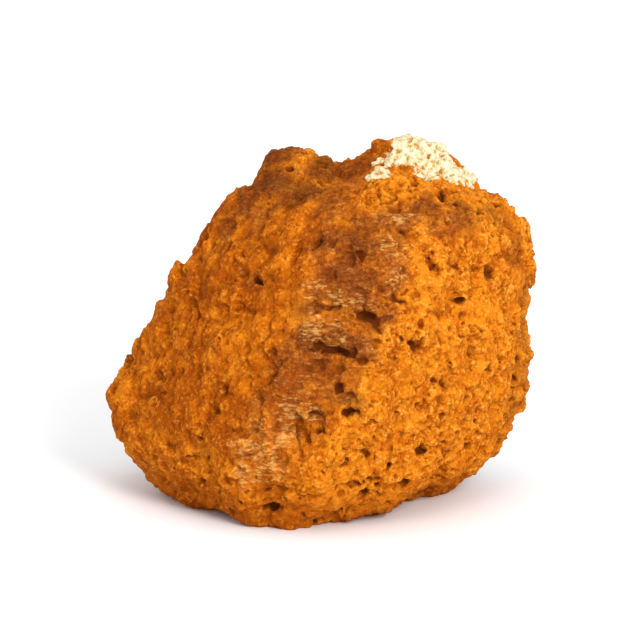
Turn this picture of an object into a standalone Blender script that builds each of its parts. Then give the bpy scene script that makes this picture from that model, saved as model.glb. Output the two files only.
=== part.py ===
"""A broken chunk of chaga, the hard conk of a birch fungus, at rest on its flattest break.

The chunk grew as one piece and is one solid: rusty, corky flesh on the breaks, with ledges, knobs,
gouges and pits, and a black cracked crust on the side that faced out from the tree, towards +Y.
The frame's origin is on the surface that the chunk rests on, under the middle of its box. +Z is up
and the break with the sharpest ridge faces -Y.
"""

import math
import random
from dataclasses import dataclass

import bmesh
import bpy
from mathutils import Vector, noise
from mathutils.bvhtree import BVHTree
from mathutils.kdtree import KDTree

MM = 0.001

# Real size of the whole chunk
WIDTH = 60.0 * MM
DEPTH = 49.0 * MM
HEIGHT = 51.0 * MM

# Mesh sizes
CARVING_VOXEL = 0.95 * MM
TRIANGLE_BUDGET = 7600
CORNER_ROUNDING_PASSES = 5

# Flesh on the breaks
LUMP_SPACING = 11.0 * MM
LUMP_HEIGHT = 0.7 * MM
LEDGE_SPACING = 8.0 * MM
LEDGE_STEP = 0.55 * MM
LEDGE_RISER_SHARE = 0.22
CRUMB_SPACING = 2.9 * MM
CRUMB_HEIGHT = 0.3 * MM

# Black crust on the outer side
CRUST_EDGE_Y = 9.5 * MM
CRUST_EDGE_WANDER = 5.0 * MM
CRUST_EDGE_WANDER_SPACING = 13.0 * MM
CRUST_EDGE_RAMP = 0.9 * MM
CRUST_STEP = 0.8 * MM
PLATE_BEND_SPACING = 6.0 * MM
PLATE_BEND = 1.1 * MM
PLATE_BEND_SEED = 6
PLATE_TILT = 0.1
CRACK_HALF_WIDTH = 0.9 * MM

# Small pits scattered over the flesh
PIT_COUNT = 70
PITTED_FROM_X = -6.0 * MM
PIT_COUNT_BEYOND = 14
PIT_RADIUS_RANGE = (1.0 * MM, 1.9 * MM)
PIT_DEPTH_PER_RADIUS = 0.62
PIT_SEED = 20

# Break corners of the bare block, (x, y, z) in millimetres, ring by ring from the foot to the crown
FOOT_RING = (
    (-13, -14, -1.5), (-6, -17.5, -1.5), (6, -10.5, -1.5), (13, 0, -1.5), (17, 5, -1.5),
    (13, 13, -1.5), (5, 17, -1.5), (-8, 17, -1.5), (-16, 9, -1.5), (-14, -6, -1.5),
)
HEEL_RING = (
    (-23.5, 3, 0.4), (-28.6, 2, 5), (-21, -11, 6), (-13, -18, 6), (-3, -22, 6), (14, -14, 5),
    (19.5, 2, 0.8), (25, 0, 5), (25, 12, 8), (14, 20, 8), (-2, 22, 8), (-16, 18, 7), (-25, 10, 7),
)
WAIST_RING = (
    (-31, 2, 13.6), (-18, -15.5, 14), (-9, -22.5, 15), (4, -24.5, 16), (18, -15, 15), (26.5, -7, 15),
    (31, 2.5, 14.2), (27, 13, 15), (18, 21, 16), (2, 24.5, 17), (-14, 21, 15), (-26, 12, 14),
)
CHEST_RING = (
    (-26, 3, 23.8), (-19, -11.5, 25), (-4, -22.5, 26), (7, -23, 27), (15, -18.5, 26),
    (26, -9.5, 26), (31.8, 3, 25.5), (28.5, 13, 27), (18, 20.5, 27), (3, 24, 27), (-13, 20, 26),
)
SHOULDER_RING = (
    (-20.5, 3.5, 31.5), (-14, -10, 34), (-1, -19, 35.5), (9, -19.5, 36.5), (17, -15, 36),
    (25.5, -6.5, 36), (30.3, 3, 35), (26, 12, 37), (16, 18, 38), (0, 20, 37), (-13, 14, 34),
)
BROW_RING = (
    (-14.5, 4, 41.5), (-9, -6, 43), (2, -12.5, 44), (12, -12, 44), (21, -8, 42.5), (27, -2, 40.8),
    (28.4, 4, 39.5), (22, 10, 43), (8, 14, 45), (-5, 12, 43.5),
)
CROWN_RING = (
    (-11, 4.5, 45.2), (-6.5, 6.5, 48.6), (4, 7, 50), (10, 4, 51.3), (17, 4.5, 49.8), (21, 4.5, 47.4),
    (12, 9, 49.5),
)


@dataclass(frozen=True)
class Mark:
    """A knob or a hollow that one place on the surface has.

    from_side is the way that a straight line runs in to meet the surface, along which the mark is
    placed; across is the two half sizes of the mark, the second one along the surface's own up.
    """

    name: str
    through: tuple[float, float, float]
    from_side: tuple[float, float, float]
    across: tuple[float, float]
    turn: float
    height: float


@dataclass(frozen=True)
class Plates:
    """One size of the plates that the crust is cracked into."""

    spacing: float
    height_spread: float
    crack_depth: float


CRUST_PLATES = (
    Plates(spacing=12.0 * MM, height_spread=1.0 * MM, crack_depth=1.9 * MM),
    Plates(spacing=5.2 * MM, height_spread=0.8 * MM, crack_depth=0.7 * MM),
)

FROM_FRONT = (0, 1, 0)
FROM_TOP = (0, 0, -1)
FROM_LEFT = (1, 0, 0)
FROM_RIGHT = (-1, 0, 0)
FROM_BACK = (0, -1, 0)

# through and across are in millimetres, turn in degrees, height in millimetres, minus for a hollow
MARKS = (
    Mark("pale crest", (11, 3, 60), FROM_TOP, (5.5, 4.0), 0, 1.3),
    Mark("pale crest tail", (18, 3, 60), FROM_TOP, (4.0, 3.5), 0, 0.9),
    Mark("crown dip", (2, 2, 60), FROM_TOP, (4.6, 8.0), 0, -2.6),
    Mark("crown knob", (-5.4, 6, 60), FROM_TOP, (3.4, 3.2), 0, 1.3),
    Mark("brow shelf", (-2, -60, 43.5), FROM_FRONT, (8.0, 2.2), 8, -1.1),
    Mark("shoulder notch", (-60, 2, 36.5), FROM_LEFT, (6.0, 4.0), 0, -1.7),
    Mark("left point", (-60, 1, 14), FROM_LEFT, (5.0, 4.0), 0, 1.6),
    Mark("left scoop", (-17, -60, 23), FROM_FRONT, (9.0, 8.0), 20, -1.6),
    Mark("left lower ledge", (-19, -60, 12), FROM_FRONT, (9.0, 2.4), -12, 0.9),
    Mark("ridge upper hollow", (1, -60, 36), FROM_FRONT, (3.2, 6.5), 8, -1.5),
    Mark("ridge swell", (9, -60, 33), FROM_FRONT, (5.5, 7.0), 0, 0.9),
    Mark("upper gouge", (5.5, -60, 29.6), FROM_FRONT, (3.4, 1.5), -14, -1.9),
    Mark("lower gouge", (1.0, -60, 24.6), FROM_FRONT, (5.4, 1.6), -4, -1.9),
    Mark("ridge lip", (0.0, -60, 21.6), FROM_FRONT, (6.0, 1.7), -4, 1.0),
    Mark("ridge low swell", (-6, -60, 12), FROM_FRONT, (5.0, 5.0), 0, 0.9),
    Mark("left slot", (-8.4, -60, 35.4), FROM_FRONT, (2.4, 1.3), -10, -1.3),
    Mark("right dimple high", (16.3, -60, 37.5), FROM_FRONT, (2.0, 2.4), 20, -0.9),
    Mark("right low fold", (21, -60, 20), FROM_FRONT, (4.0, 1.6), -18, -1.1),
    Mark("toe nick", (-5, -60, 3.2), FROM_FRONT, (3.0, 1.5), 0, -1.2),
    Mark("right flank scoop", (60, 9, 22), FROM_RIGHT, (6.0, 7.0), 10, -1.5),
    Mark("right flank rib", (60, 4, 33), FROM_RIGHT, (3.0, 6.0), 30, 1.1),
    Mark("left flank scoop", (-60, 8, 27), FROM_LEFT, (7.0, 7.0), 0, -1.9),
    Mark("back valley", (5, 60, 24), FROM_BACK, (5.0, 12.0), 25, -2.6),
    Mark("back boss left", (-10, 60, 17), FROM_BACK, (7.0, 7.0), 0, 2.0),
    Mark("back boss right", (15, 60, 31), FROM_BACK, (6.0, 6.0), 0, 1.7),
)

# Pits wide enough to tell apart on the front: x and z of the middle and the radius, in millimetres
NAMED_PITS = (
    (-0.6, 16.9, 1.25), (4.2, 17.2, 1.35), (13.2, 26.0, 1.2), (15.8, 21.0, 1.3), (14.2, 11.3, 1.25),
    (17.4, 11.3, 1.35), (5.0, 8.0, 1.5), (11.6, 6.6, 1.2), (16.4, 36.9, 1.1), (23.8, 36.0, 1.4),
    (27.4, 31.2, 1.1), (-12.3, 39.4, 1.4), (-17.2, 13.0, 1.1), (-6.4, 4.4, 1.4), (8.6, 12.4, 1.1),
)


def clear_scene() -> None:
    """Removes every object that the file starts with."""
    for item in list(bpy.data.objects):
        bpy.data.objects.remove(item, do_unlink=True)


def smooth_step(low: float, high: float, value: float) -> float:
    """Goes from 0 at low to 1 at high with no kink."""
    share = min(1.0, max(0.0, (value - low) / (high - low)))
    return share * share * (3.0 - 2.0 * share)


def bare_block() -> bpy.types.Object:
    """The block that the breaks leave, before its surface is carved: the hull of all its corners."""
    mesh = bpy.data.meshes.new("chaga_chunk")
    shape = bmesh.new()
    for ring in (
        FOOT_RING, HEEL_RING, WAIST_RING, CHEST_RING, SHOULDER_RING, BROW_RING, CROWN_RING,
    ):
        for corner in ring:
            shape.verts.new(Vector(corner) * MM)
    hull = bmesh.ops.convex_hull(shape, input=shape.verts)
    inner = {item for item in hull["geom_interior"] if isinstance(item, bmesh.types.BMVert)}
    bmesh.ops.delete(shape, geom=list(inner), context="VERTS")
    shape.to_mesh(mesh)
    shape.free()
    block = bpy.data.objects.new("chaga_chunk", mesh)
    bpy.context.scene.collection.objects.link(block)
    return block


def bake_modifiers(item: bpy.types.Object) -> None:
    """Replaces the object's mesh by what its modifiers make of it, and removes them."""
    bpy.context.view_layer.update()
    graph = bpy.context.evaluated_depsgraph_get()
    made = bpy.data.meshes.new_from_object(item.evaluated_get(graph))
    old = item.data
    item.modifiers.clear()
    item.data = made
    bpy.data.meshes.remove(old)
    made.name = item.name


def even_out(block: bpy.types.Object) -> None:
    """Gives the block a mesh of even small faces, and rounds off its corners a little."""
    remesh = block.modifiers.new("even faces", "REMESH")
    remesh.mode = "VOXEL"
    remesh.voxel_size = CARVING_VOXEL
    bake_modifiers(block)
    shape = bmesh.new()
    shape.from_mesh(block.data)
    for _ in range(CORNER_ROUNDING_PASSES):
        bmesh.ops.smooth_vert(
            shape, verts=shape.verts, factor=0.5, use_axis_x=True, use_axis_y=True, use_axis_z=True
        )
    shape.to_mesh(block.data)
    shape.free()


def crust_cover(point: Vector) -> float:
    """How far a point is under the crust, from 0 on the flesh to 1."""
    wander = noise.fractal(point / CRUST_EDGE_WANDER_SPACING, 1.0, 2.0, 3) * CRUST_EDGE_WANDER
    return smooth_step(-CRUST_EDGE_RAMP, CRUST_EDGE_RAMP, point.y + wander - CRUST_EDGE_Y)


def stepped(value: float) -> float:
    """Turns a slope into treads and short steep risers, one step for each unit of value."""
    tread = math.floor(value)
    rise = smooth_step(0.5 - LEDGE_RISER_SHARE, 0.5 + LEDGE_RISER_SHARE, value - tread)
    return tread + rise


def flesh_relief(point: Vector) -> float:
    """Lumps, broken ledges and crumbs of the corky flesh, as a height along the normal."""
    lumps = noise.fractal(point / LUMP_SPACING + Vector((3.1, 0, 7.7)), 1.0, 2.0, 2)
    ledges = stepped(1.6 * noise.fractal(point / LEDGE_SPACING + Vector((0, 5.3, 0)), 0.9, 2.1, 3))
    crumbs = noise.fractal(point / CRUMB_SPACING, 0.7, 2.0, 2)
    return LUMP_HEIGHT * lumps + LEDGE_STEP * ledges + CRUMB_HEIGHT * crumbs


def plates_relief(point: Vector, plates: Plates) -> float:
    """Flat plates, each at its own height and tilt, with a crack around each."""
    distances, middles = noise.voronoi(point / plates.spacing)
    name = middles[0] * 5.0
    level = noise.cell(name) * plates.height_spread
    tilt = noise.cell_vector(name).dot(point - middles[0] * plates.spacing) * PLATE_TILT
    from_edge = 0.5 * (distances[1] - distances[0]) * plates.spacing
    return level + tilt - plates.crack_depth * (1.0 - smooth_step(0.0, CRACK_HALF_WIDTH, from_edge))


def crust_relief(point: Vector) -> float:
    """Cracked plates of the crust, wide ones that are split again into narrow ones."""
    bent = point + noise.noise_vector(point / PLATE_BEND_SPACING) * PLATE_BEND
    height = CRUST_STEP + sum(plates_relief(bent, plates) for plates in CRUST_PLATES)
    grit = noise.fractal(point / CRUMB_SPACING + Vector((9, 0, 0)), 0.6, 2.2, 2)
    return height + CRUMB_HEIGHT * grit


class Surface:
    """The block's surface, for finding where a straight line from outside meets it."""

    def __init__(self, shape: bmesh.types.BMesh) -> None:
        self.tree = BVHTree.FromBMesh(shape)

    def met_by(self, through: Vector, way: Vector) -> tuple[Vector, Vector]:
        """The place and normal where the line through a point, running that way, first meets it."""
        place, normal, _, _ = self.tree.ray_cast(through - way * 0.2, way)
        return place, normal


def mark_frame(mark: Mark, surface: Surface) -> tuple[Vector, Vector, Vector]:
    """The middle of a mark on the surface and its two directions along the surface."""
    way = Vector(mark.from_side)
    middle, normal = surface.met_by(Vector(mark.through) * MM, way)
    up = Vector((0, 1, 0)) if abs(way.z) > 0.5 else Vector((0, 0, 1))
    right = up.cross(normal).normalized()
    along = normal.cross(right).normalized()
    turn = math.radians(mark.turn)
    first = right * math.cos(turn) + along * math.sin(turn)
    return middle, first, normal.cross(first).normalized()


def add_marks(shape: bmesh.types.BMesh, surface: Surface) -> None:
    """Raises each knob and sinks each hollow, with soft edges."""
    for mark in MARKS:
        middle, first, second = mark_frame(mark, surface)
        reach = 3.0 * max(mark.across) * MM
        for vert in shape.verts:
            away = vert.co - middle
            if away.length > reach:
                continue
            a = away.dot(first) / (mark.across[0] * MM)
            b = away.dot(second) / (mark.across[1] * MM)
            vert.co += vert.normal * mark.height * MM * math.exp(-(a * a + b * b))


def add_relief(shape: bmesh.types.BMesh) -> None:
    """Moves every point along its normal by the relief of the flesh or of the crust."""
    moves = []
    for vert in shape.verts:
        cover = crust_cover(vert.co)
        height = 0.0
        if cover < 1.0:
            height += (1.0 - cover) * flesh_relief(vert.co)
        if cover > 0.0:
            height += cover * crust_relief(vert.co)
        moves.append(vert.normal * height)
    for vert, move in zip(shape.verts, moves):
        vert.co += move


def pit_places(shape: bmesh.types.BMesh, surface: Surface) -> list[tuple[Vector, Vector, float]]:
    """Middle, normal and radius of every pit: the named ones, then the scattered ones."""
    pits = []
    for x, z, radius in NAMED_PITS:
        middle, normal = surface.met_by(Vector((x * MM, 0, z * MM)), Vector(FROM_FRONT))
        pits.append((middle, normal, radius * MM))
    chance = random.Random(PIT_SEED)
    flesh = [vert for vert in shape.verts if vert.co.y < CRUST_EDGE_Y - CRUST_EDGE_WANDER]
    pitted = [vert for vert in flesh if vert.co.x > PITTED_FROM_X]
    smooth = [vert for vert in flesh if vert.co.x <= PITTED_FROM_X]
    for vert in chance.sample(pitted, PIT_COUNT) + chance.sample(smooth, PIT_COUNT_BEYOND):
        pits.append((vert.co.copy(), vert.normal.copy(), chance.uniform(*PIT_RADIUS_RANGE)))
    return pits


def add_pits(shape: bmesh.types.BMesh, pits: list[tuple[Vector, Vector, float]]) -> None:
    """Sinks a rounded pit at each place."""
    finder = KDTree(len(shape.verts))
    for number, vert in enumerate(shape.verts):
        finder.insert(vert.co, number)
    finder.balance()
    shape.verts.ensure_lookup_table()
    for middle, normal, radius in pits:
        for place, number, distance in finder.find_range(middle, 1.25 * radius):
            share = 1.0 - smooth_step(0.25, 1.25, distance / radius)
            shape.verts[number].co -= normal * PIT_DEPTH_PER_RADIUS * radius * share


def carve(block: bpy.types.Object) -> None:
    """Gives the block its knobs, hollows, ledges, crumbs, crust plates and pits."""
    shape = bmesh.new()
    shape.from_mesh(block.data)
    shape.normal_update()
    add_marks(shape, Surface(shape))
    shape.normal_update()
    add_relief(shape)
    shape.normal_update()
    add_pits(shape, pit_places(shape, Surface(shape)))
    shape.to_mesh(block.data)
    shape.free()


def thin_out(block: bpy.types.Object) -> None:
    """Brings the mesh down to its budget, with the faces kept where the surface bends."""
    block.data.calc_loop_triangles()
    thinner = block.modifiers.new("fewer faces", "DECIMATE")
    thinner.decimate_type = "COLLAPSE"
    thinner.ratio = TRIANGLE_BUDGET / len(block.data.loop_triangles)
    thinner.use_collapse_triangulate = True
    bake_modifiers(block)


def cut_resting_face(block: bpy.types.Object) -> None:
    """Cuts off all that is under the surface that the chunk rests on, which leaves one flat face."""
    mesh = bpy.data.meshes.new("under_the_surface")
    slab = bmesh.new()
    bmesh.ops.create_cube(slab, size=2.0 * WIDTH)
    bmesh.ops.translate(slab, verts=slab.verts, vec=(0, 0, -WIDTH))
    slab.to_mesh(mesh)
    slab.free()
    cutter = bpy.data.objects.new("under_the_surface", mesh)
    cutter.hide_render = True
    cutter.display_type = "WIRE"
    bpy.context.scene.collection.objects.link(cutter)
    cut = block.modifiers.new("resting face", "BOOLEAN")
    cut.operation = "DIFFERENCE"
    cut.object = cutter
    bake_modifiers(block)
    bpy.data.objects.remove(cutter, do_unlink=True)


def bring_to_size(block: bpy.types.Object) -> None:
    """Scales the chunk to its real size, with the middle of its box over the origin."""
    points = [vert.co for vert in block.data.vertices]
    low = Vector(min(point[axis] for point in points) for axis in range(3))
    high = Vector(max(point[axis] for point in points) for axis in range(3))
    for point in points:
        point.x = (point.x - (low.x + high.x) / 2) * WIDTH / (high.x - low.x)
        point.y = (point.y - (low.y + high.y) / 2) * DEPTH / (high.y - low.y)
        point.z = (point.z - low.z) * HEIGHT / (high.z - low.z)


def principled(name: str, colour: tuple[float, float, float], roughness: float):
    """A plain opaque material."""
    material = bpy.data.materials.new(name)
    material.use_nodes = True
    shader = material.node_tree.nodes["Principled BSDF"]
    shader.inputs["Base Color"].default_value = (*colour, 1.0)
    shader.inputs["Roughness"].default_value = roughness
    shader.inputs["Metallic"].default_value = 0.0
    return material


def colour_chunk(block: bpy.types.Object) -> None:
    """Flesh on the breaks and crust on the outer side, as two materials of one mesh."""
    block.data.materials.clear()
    block.data.materials.append(principled("chaga_flesh", (0.56, 0.17, 0.013), 0.85))
    block.data.materials.append(principled("chaga_crust", (0.035, 0.024, 0.018), 0.9))
    for face in block.data.polygons:
        face.material_index = int(crust_cover(face.center) > 0.5)
    block.data.shade_flat()


def main() -> None:
    """Builds the chunk."""
    noise.seed_set(PLATE_BEND_SEED)
    clear_scene()
    block = bare_block()
    even_out(block)
    carve(block)
    thin_out(block)
    cut_resting_face(block)
    bring_to_size(block)
    colour_chunk(block)


main()
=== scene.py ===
import logging
import math
from dataclasses import dataclass
from enum import Enum

import bpy
import numpy as np
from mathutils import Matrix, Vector, noise
from mathutils.bvhtree import BVHTree


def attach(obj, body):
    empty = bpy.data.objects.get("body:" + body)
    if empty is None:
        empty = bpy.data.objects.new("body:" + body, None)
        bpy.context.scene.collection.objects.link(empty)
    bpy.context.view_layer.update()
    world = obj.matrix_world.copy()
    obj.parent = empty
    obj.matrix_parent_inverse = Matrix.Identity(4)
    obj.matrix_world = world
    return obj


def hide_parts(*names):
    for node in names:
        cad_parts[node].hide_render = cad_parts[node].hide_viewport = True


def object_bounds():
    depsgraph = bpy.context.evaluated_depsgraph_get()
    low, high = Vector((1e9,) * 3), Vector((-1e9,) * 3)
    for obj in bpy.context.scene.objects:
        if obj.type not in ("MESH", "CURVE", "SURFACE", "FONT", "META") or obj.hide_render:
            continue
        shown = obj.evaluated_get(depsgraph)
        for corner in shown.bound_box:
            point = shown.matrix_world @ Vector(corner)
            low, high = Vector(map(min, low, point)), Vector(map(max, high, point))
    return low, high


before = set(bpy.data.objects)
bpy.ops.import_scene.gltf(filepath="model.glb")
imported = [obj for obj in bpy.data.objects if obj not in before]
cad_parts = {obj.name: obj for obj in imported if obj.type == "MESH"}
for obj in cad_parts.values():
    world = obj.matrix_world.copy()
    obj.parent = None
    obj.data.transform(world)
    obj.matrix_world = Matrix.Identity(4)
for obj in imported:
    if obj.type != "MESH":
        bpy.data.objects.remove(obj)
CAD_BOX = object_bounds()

log = logging.getLogger("chaga")

Colour = tuple[float, float, float]
Socket = bpy.types.NodeSocket

MM = 0.001

# Seeds the noise vectors, which would otherwise differ from run to run
PATTERN_SEED = 7
# A point with less of a mask than this is left out of the mask's patterns
LEAST_MASK = 0.02
# Spreads the seats of a pattern's cells, so that each cell draws a value of its own
SEAT_SPREAD = 17.3

# The photo's plane: how far the camera looks down, and where the chunk's foot lies in it
CAMERA_ELEVATION = math.radians(14.0)
FOOT_IN_PHOTO = 4.45 * MM

# The carved block, near enough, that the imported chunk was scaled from: its crust's edge is found in it
CARVED_SIZE = Vector((62.99, 50.30, 51.90)) * MM
CARVED_MIDDLE = Vector((0.207, 0.356, 0.0)) * MM
CRUST_EDGE_Y = 9.5 * MM
CRUST_EDGE_WANDER = 5.0 * MM
CRUST_EDGE_WANDER_SPACING = 13.0 * MM


def smooth_step(low: float, high: float, values: np.ndarray) -> np.ndarray:
    """Goes from 0 at low to 1 at high with no kink.

    Args:
        low: Where the step starts. It may be above high, for a step down.
        high: Where the step ends.
        values: The values to step.

    Returns:
        The stepped values, each from 0 to 1.
    """
    share = np.clip((values - low) / (high - low), 0.0, 1.0)
    return share * share * (3.0 - 2.0 * share)


def fractal(points: np.ndarray, spacing: float, octaves: int, seat: float = 0.0) -> np.ndarray:
    """Fractal noise at each point.

    Args:
        points: One row of three coordinates per point, in metres.
        spacing: Size of the coarsest lumps, in metres.
        octaves: How many sizes of lumps, each half the one before.
        seat: Shifts the pattern, so that two patterns of one spacing differ.

    Returns:
        One value per point, about -1 to 1.
    """
    seated = (points / spacing + seat).tolist()
    return np.array([noise.fractal(point, 1.0, 2.0, octaves) for point in seated])


def bend(points: np.ndarray, spacing: float, reach: float, seat: float = 0.0) -> np.ndarray:
    """Moves points by noise, so that what is drawn around them comes out ragged.

    Args:
        points: One row per point, in metres.
        spacing: Size of the noise, in metres.
        reach: How far the noise moves them, in metres.
        seat: Shifts the noise.

    Returns:
        The moved points.
    """
    seated = (points / spacing + seat).tolist()
    return points + np.array([noise.noise_vector(point)[:] for point in seated]) * reach


class PhotoPlane:
    """Finds places on the chunk's front by where they are in the photo, in millimetres.

    across runs to the camera's right from the middle of the chunk, up runs up the picture from
    the chunk's lowest point in it.
    """

    stand_off = 0.2
    ahead = Vector((0.0, math.cos(CAMERA_ELEVATION), -math.sin(CAMERA_ELEVATION)))
    upward = Vector((0.0, math.sin(CAMERA_ELEVATION), math.cos(CAMERA_ELEVATION)))

    def __init__(self, sculpt: "Sculpt") -> None:
        """Keeps the surface as it is now, for the lines of sight to meet.

        Args:
            sculpt: The sculpt whose surface is kept.
        """
        self.tree = BVHTree.FromPolygons(sculpt.points().tolist(), sculpt.faces())

    def place(self, across: float, up: float) -> tuple[Vector, Vector]:
        """Where a line of sight first meets the chunk.

        Args:
            across: Place across the photo's plane, in millimetres.
            up: Place up the photo's plane, in millimetres.

        Returns:
            The place and the surface's normal there.
        """
        start = Vector((across * MM, 0, 0)) + self.upward * (up * MM - FOOT_IN_PHOTO)
        place, normal, _, _ = self.tree.ray_cast(start - self.ahead * self.stand_off, self.ahead)
        if place is None:
            place, normal, _, _ = self.tree.find_nearest(start)
        return place, normal


class Pattern(Enum):
    """Procedural patterns that a relief can be raised from."""

    CLOUDS = "CLOUDS"
    GRAINS = "VORONOI"
    CRACKS = "CRACKS"
    WEB = "WEB"


@dataclass(frozen=True)
class Relief:
    """One layer of relief, raised along the normals from a procedural pattern."""

    name: str
    pattern: Pattern
    spacing: float
    height: float
    mask: str
    stretch: tuple[float, float, float] = (1.0, 1.0, 1.0)
    octaves: int = 2
    crack_half_width: float = 0.0

    def texture(self) -> bpy.types.Texture:
        """Builds the pattern for a Displace modifier to read.

        Returns:
            The texture.
        """
        kind = {Pattern.CRACKS: "VORONOI", Pattern.WEB: "CLOUDS"}.get(self.pattern, self.pattern.value)
        texture = bpy.data.textures.new(self.name, type=kind)
        texture.noise_scale = self.spacing
        if kind == "CLOUDS":
            texture.noise_basis = "IMPROVED_PERLIN"
            texture.noise_type = "HARD_NOISE" if self.pattern is Pattern.WEB else "SOFT_NOISE"
            texture.noise_depth = self.octaves
        elif self.pattern is Pattern.CRACKS:
            texture.weight_1, texture.weight_2 = -1.0, 1.0
            texture.use_color_ramp = True
            ends = texture.color_ramp.elements
            ends[0].color, ends[1].color = (0, 0, 0, 1), (1, 1, 1, 1)
            ends[1].position = self.crack_half_width / self.spacing
        return texture

    @property
    def middle(self) -> float:
        """The pattern's value that moves nothing."""
        return 1.0 if self.pattern is Pattern.CRACKS else 0.5


class Sculpt:
    """The chunk's mesh while it is shaped, and the hand tools that shape it."""

    MASK_LEVELS = 24
    MERGE_DISTANCE = 0.005 * MM

    def __init__(self, name: str, node: bpy.types.Object) -> None:
        """Copies a CAD node's mesh and merges its loose triangles.

        Args:
            name: The new piece's name.
            node: The CAD node to copy.
        """
        bpy.ops.object.select_all(action="DESELECT")
        self.piece = bpy.data.objects.new(name, node.data.copy())
        self.piece.data.name = name
        bpy.context.scene.collection.objects.link(self.piece)
        self.piece.select_set(True)
        bpy.context.view_layer.objects.active = self.piece
        bpy.ops.object.mode_set(mode="EDIT")
        bpy.ops.mesh.select_all(action="SELECT")
        bpy.ops.mesh.remove_doubles(threshold=self.MERGE_DISTANCE)
        bpy.ops.object.mode_set(mode="OBJECT")

    def apply(self, kind: str, **settings: object) -> None:
        """Adds a modifier with its settings, and applies it.

        Args:
            kind: The modifier's type.
            **settings: The modifier's properties and their values.
        """
        bpy.ops.object.modifier_add(type=kind)
        modifier = self.piece.modifiers[-1]
        for key, value in settings.items():
            setattr(modifier, key, value)
        bpy.ops.object.modifier_apply(modifier=modifier.name)

    def even_out(self, voxel: float, passes: int) -> None:
        """Remakes the mesh with even faces, and smooths it.

        Args:
            voxel: Size of the new faces, in metres.
            passes: Number of smoothing passes.
        """
        self.apply("REMESH", mode="VOXEL", voxel_size=voxel, use_smooth_shade=True)
        self.apply("SMOOTH", factor=0.5, iterations=passes)

    def thin_to(self, most: int) -> None:
        """Drops the points that matter least, until a number of triangles is left.

        Args:
            most: The number of triangles to keep.
        """
        triangles = sum(len(face.vertices) - 2 for face in self.piece.data.polygons)
        log.info("fine mesh: %d triangles", triangles)
        if triangles > most:
            self.apply("DECIMATE", ratio=most / triangles)

    def points(self) -> np.ndarray:
        """Reads where the mesh's points are.

        Returns:
            One row of three coordinates per point, in metres.
        """
        flat = np.empty(len(self.piece.data.vertices) * 3, np.float32)
        self.piece.data.vertices.foreach_get("co", flat)
        return flat.reshape(-1, 3).astype(float)

    def normals(self) -> np.ndarray:
        """Reads which way the surface faces.

        Returns:
            One row per point, its normal.
        """
        flat = np.empty(len(self.piece.data.vertices) * 3, np.float32)
        self.piece.data.vertex_normals.foreach_get("vector", flat)
        return flat.reshape(-1, 3).astype(float)

    def faces(self) -> list[tuple[int, ...]]:
        """The point numbers of every face."""
        return [tuple(face.vertices) for face in self.piece.data.polygons]

    def set_points(self, points: np.ndarray) -> None:
        """Moves every point to its row's place."""
        self.piece.data.vertices.foreach_set("co", points.astype(np.float32).ravel())
        self.piece.data.update()

    def push(self, heights: np.ndarray) -> None:
        """Moves every point along its normal by its own height, in metres."""
        self.set_points(self.points() + self.normals() * heights[:, None])

    def spread(self, values: np.ndarray, passes: int) -> np.ndarray:
        """Averages values with those of the neighbouring points.

        Args:
            values: One value, or one row of values, per point.
            passes: How many times to average.

        Returns:
            The averaged values.
        """
        edges = np.empty(len(self.piece.data.edges) * 2, np.int32)
        self.piece.data.edges.foreach_get("vertices", edges)
        one, other = edges[0::2], edges[1::2]
        count = len(values)
        degree = np.bincount(one, minlength=count) + np.bincount(other, minlength=count)
        columns = values.reshape(count, -1).T.copy()
        for _ in range(passes):
            for column in columns:
                near = np.bincount(one, column[other], count) + np.bincount(other, column[one], count)
                column[:] = 0.5 * column + 0.5 * near / degree
        return columns.T.reshape(values.shape)

    def untangle(self, rounds: int) -> None:
        """Smooths the surface where its faces cross each other.

        Args:
            rounds: How many times to look for such faces.
        """
        faces = self.faces()
        for _ in range(rounds):
            points = self.points()
            tree = BVHTree.FromPolygons(points.tolist(), faces)
            crossed = {face for pair in tree.overlap(tree) for face in pair}
            share = np.zeros(len(points))
            share[[corner for face in crossed for corner in faces[face]]] = 1.0
            share = np.minimum(3.0 * self.spread(share, 2), 1.0)
            self.set_points(points + (self.spread(points, 3) - points) * share[:, None])
            log.info("faces that cross, smoothed: %d", len(crossed))

    def set_mask(self, name: str, weights: np.ndarray) -> None:
        """Keeps a mask, as a vertex group that reliefs can name.

        Args:
            name: The mask's name.
            weights: One weight per point, from 0 to 1.
        """
        group = self.piece.vertex_groups.new(name=name)
        levels = np.rint(np.clip(weights, 0.0, 1.0) * self.MASK_LEVELS).astype(int)
        for level in range(1, self.MASK_LEVELS + 1):
            members = np.flatnonzero(levels == level).tolist()
            if members:
                group.add(members, level / self.MASK_LEVELS, "REPLACE")

    def raise_relief(self, relief: Relief) -> None:
        """Raises one layer of relief, where its mask is.

        Args:
            relief: The layer.
        """
        settings = {"texture_coords": "LOCAL"}
        ruler = None
        if relief.stretch != (1.0, 1.0, 1.0):
            ruler = bpy.data.objects.new("pattern_ruler", None)
            ruler.scale = relief.stretch
            bpy.context.scene.collection.objects.link(ruler)
            bpy.context.view_layer.update()
            settings = {"texture_coords_object": ruler, "texture_coords": "OBJECT"}
        texture = relief.texture()
        self.apply(
            "DISPLACE",
            texture=texture,
            strength=relief.height,
            mid_level=relief.middle,
            vertex_group=relief.mask,
            **settings,
        )
        bpy.data.textures.remove(texture)
        if ruler:
            bpy.data.objects.remove(ruler)

    def store(self, name: str, values: np.ndarray) -> None:
        """Keeps one value per point as an attribute, for the material to read."""
        attribute = self.piece.data.attributes.new(name, "FLOAT", "POINT")
        attribute.data.foreach_set("value", values.astype(np.float32))


@dataclass(frozen=True)
class Dab:
    """A soft round patch on the front, placed in the photo's plane. All sizes in millimetres."""

    across: float
    up: float
    radius: float
    strength: float = 1.0


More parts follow.
